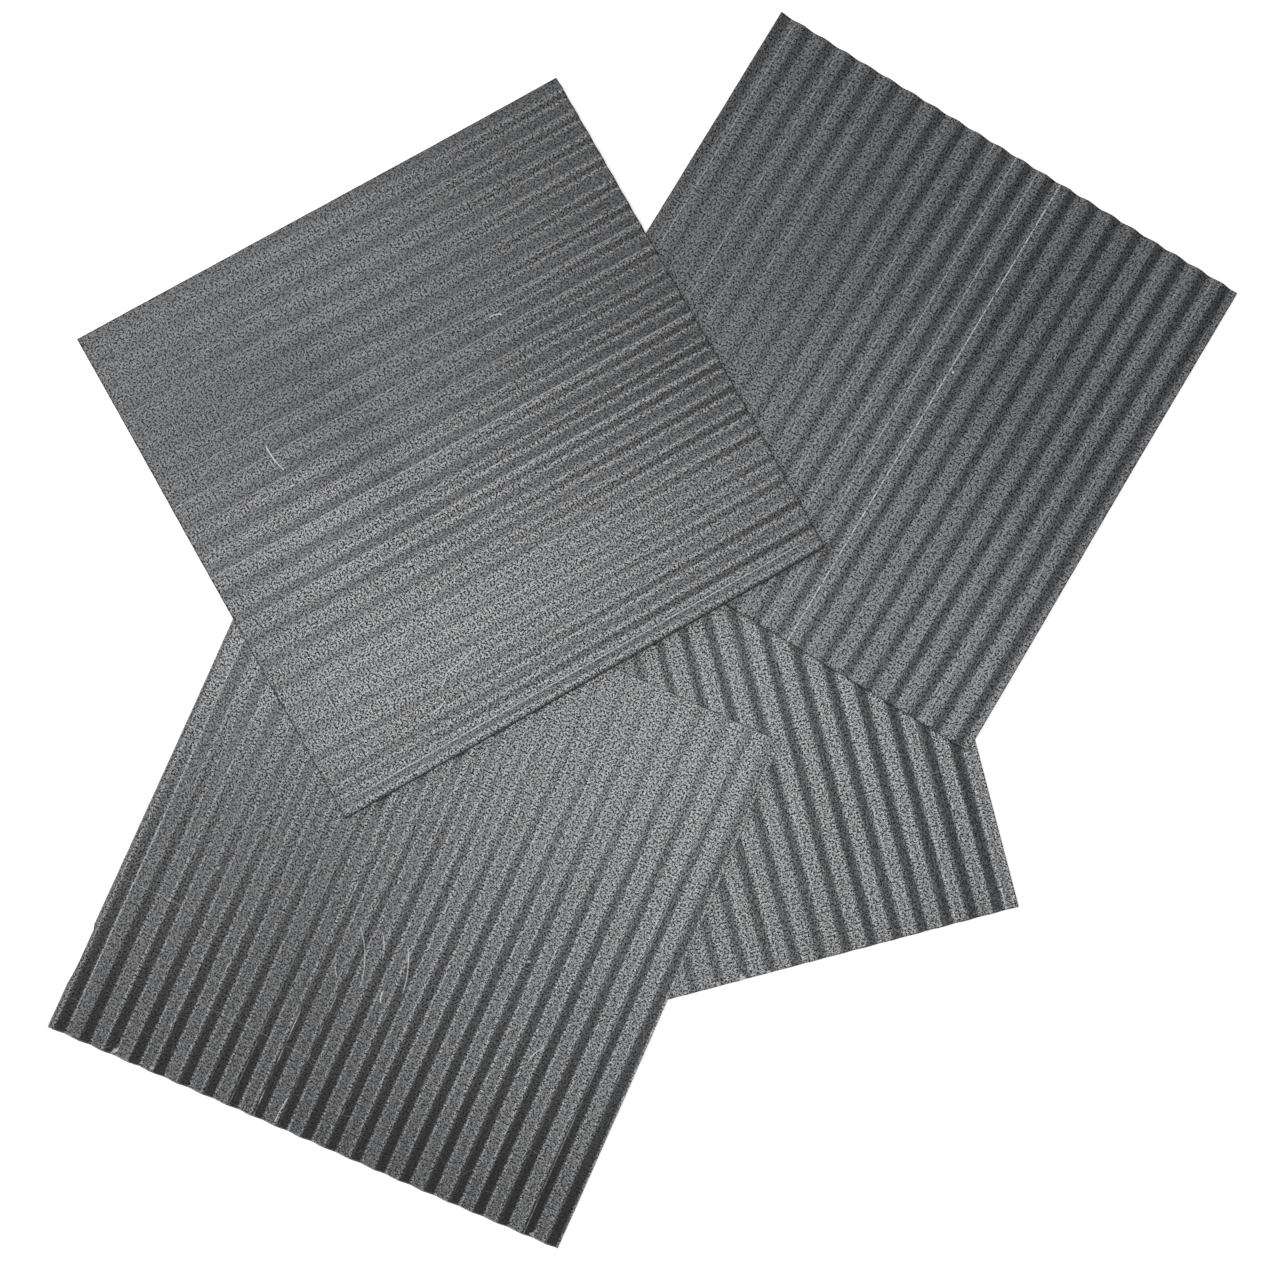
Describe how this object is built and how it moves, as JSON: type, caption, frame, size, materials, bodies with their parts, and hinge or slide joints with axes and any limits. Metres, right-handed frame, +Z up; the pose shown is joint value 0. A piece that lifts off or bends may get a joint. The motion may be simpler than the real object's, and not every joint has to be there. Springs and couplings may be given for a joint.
{
  "type": "tyre traction mat set",
  "caption": "Square sheets with straight parallel ribs, fanned out in a loose pile; one is laid under a stuck tyre to give it grip on snow, ice or mud.",
  "frame": {"origin": "middle of the pile's outline, on the floor it lies on", "axes": "+Z up, square to the floor; seen from above with +Y away from the viewer, the bare part of the bottom mat is towards +X and -Y"},
  "size_m": [0.72, 0.749, 0.0135],
  "materials": {
    "ribbed_sheet": "matt black plastic sheet with a fine pebbled grain, greyed by scuffs and pale fold lines"
  },
  "bodies": {
    "bottom": {"bottom_mat": "ribbed_sheet"},
    "left": {"left_mat": "ribbed_sheet"},
    "right": {"right_mat": "ribbed_sheet"},
    "top": {"top_mat": "ribbed_sheet"}
  },
  "joints": [
    {"name": "left_mat_lift", "type": "slide", "parent": "bottom", "child": "left", "axis": [0, 0, 1], "range_m": [0, 0.06]},
    {"name": "right_mat_lift", "type": "slide", "parent": "left", "child": "right", "axis": [0, 0, 1], "range_m": [0, 0.06]},
    {"name": "top_mat_lift", "type": "slide", "parent": "right", "child": "top", "axis": [0, 0, 1], "range_m": [0, 0.06]}
  ]
}
